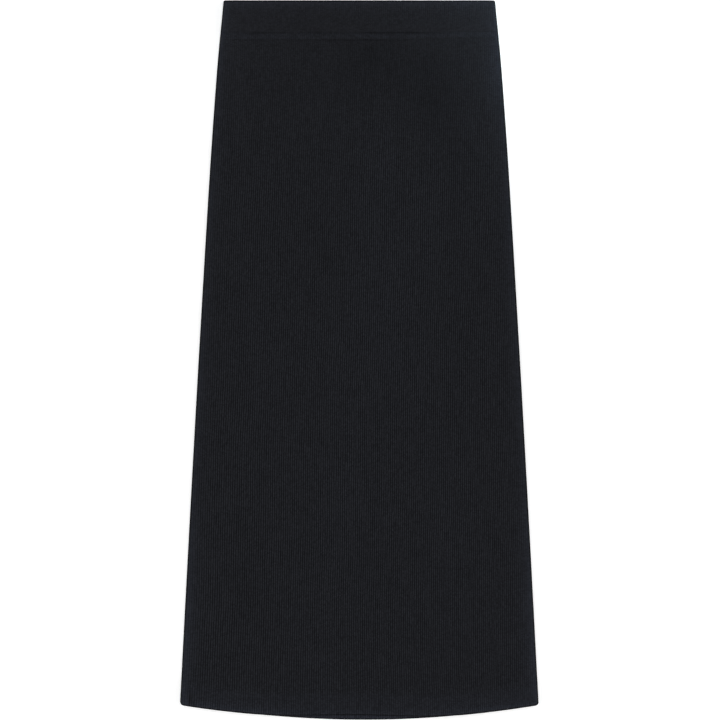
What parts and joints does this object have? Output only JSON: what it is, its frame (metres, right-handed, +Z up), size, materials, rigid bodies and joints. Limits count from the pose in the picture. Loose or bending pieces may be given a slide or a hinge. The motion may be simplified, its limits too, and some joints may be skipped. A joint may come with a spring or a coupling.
{
  "type": "maxi skirt",
  "caption": "Long narrow A-line pull-on skirt in fine black rib knit with an elasticated waistband and turned-up hem, lying flat front side up.",
  "frame": {"origin": "on the table under the middle of the skirt's own box", "axes": "+X across the skirt to the right as seen from above with the front side up, +Y from hem to waist, +Z up from the table"},
  "size_m": [0.4484, 0.9, 0.0081],
  "materials": {
    "rib_knit": "soft matte fine rib knit, black",
    "waistband_knit": "soft matte fine rib knit over elastic, black"
  },
  "bodies": {
    "root": {"front_panel": "rib_knit", "back_panel": "rib_knit", "waistband_front": "waistband_knit", "waistband_back": "waistband_knit"}
  },
  "joints": []
}
